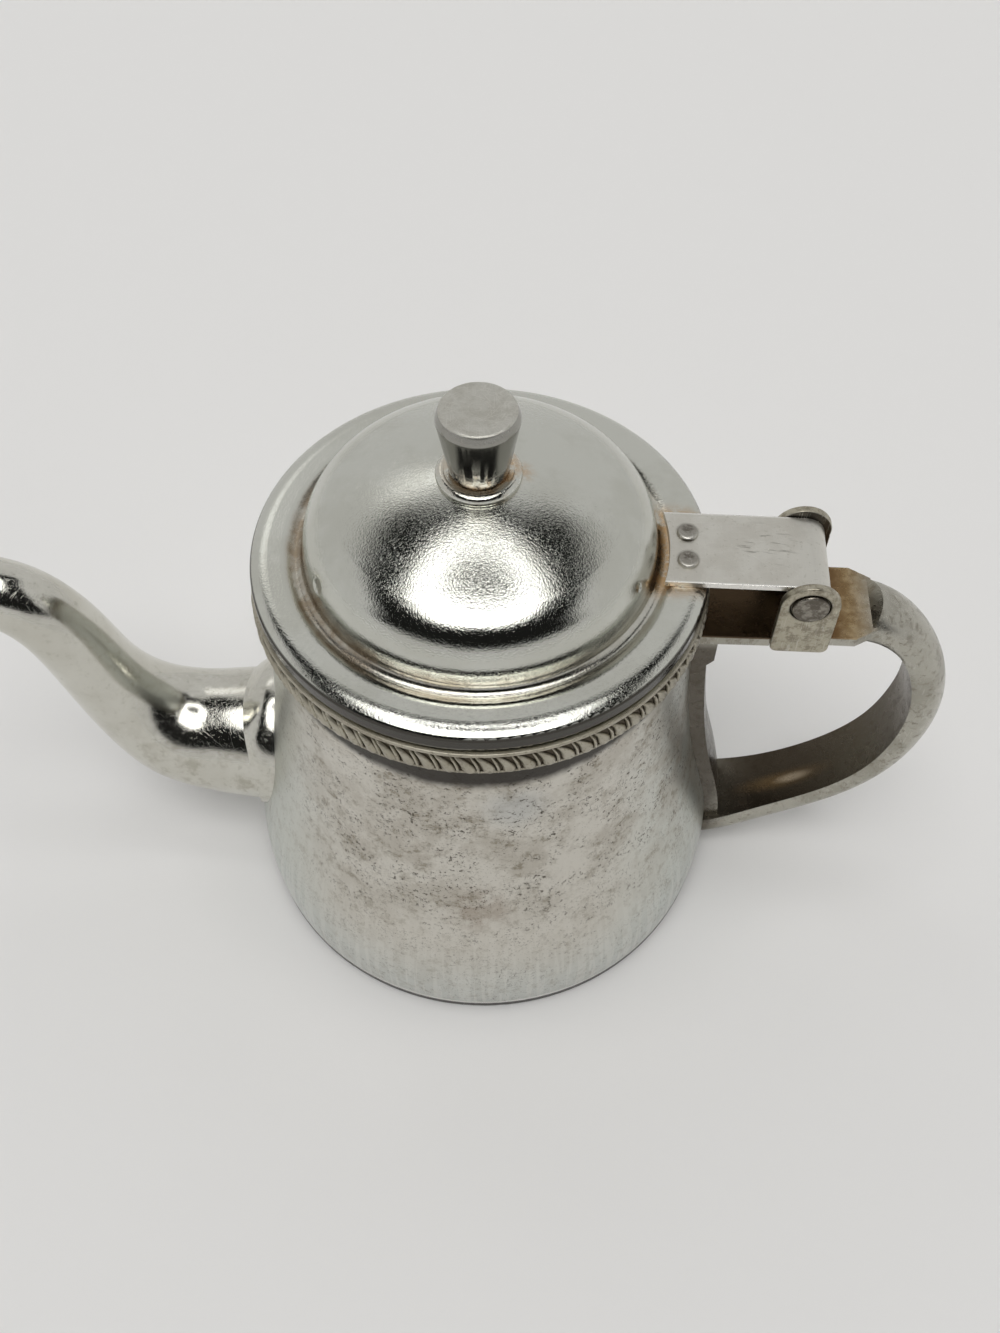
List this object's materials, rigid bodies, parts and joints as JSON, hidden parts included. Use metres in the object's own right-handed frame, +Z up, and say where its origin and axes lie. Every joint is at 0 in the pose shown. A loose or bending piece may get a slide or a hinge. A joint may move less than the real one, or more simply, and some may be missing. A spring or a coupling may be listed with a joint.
{
  "type": "syrup dispenser",
  "caption": "Small metal syrup pot with a flared body, ribbed rim, hinged domed lid with a knob, curved spout and loop handle.",
  "frame": {"origin": "centre of the underside of the base disc, where the pot stands", "axes": "+Z up, +X from the pot's middle towards the handle, the spout towards -X, and the hinge pin along Y"},
  "size_m": [0.1801, 0.0906, 0.1133],
  "materials": {
    "body_metal": "worn satin with fine scratches and grey speckles",
    "band_metal": "tarnished in the hollows, worn bright on the ribs",
    "lid_metal": "old polish with micro scratches",
    "knob_metal": "satin scratched face over a polished flank",
    "screw_metal": "dull turned metal",
    "hinge_metal": "dull grey with bright worn edges",
    "handle_metal": "satin, worn bright where held",
    "spout_metal": "old polish with micro scratches"
  },
  "bodies": {
    "pot": {"body_shell": "body_metal", "base_disc": "body_metal", "gadroon_band": "band_metal", "spout": "spout_metal", "spout_saddle": "spout_metal", "handle": "handle_metal", "hinge_ear_front": "hinge_metal", "hinge_ear_rear": "hinge_metal", "hinge_pin": "screw_metal"},
    "lid": {"lid_shell": "lid_metal", "lid_collar": "lid_metal", "knob": "knob_metal", "knob_washer": "screw_metal", "knob_screw": "screw_metal", "hinge_leaf": "hinge_metal", "leaf_rivet_front": "hinge_metal", "leaf_rivet_rear": "hinge_metal"}
  },
  "joints": [
    {"name": "lid_hinge", "type": "hinge", "parent": "pot", "child": "lid", "pos_m": [0.0524, 0, 0.08205], "axis": [0, 1, 0], "range_deg": [0, 110]}
  ]
}
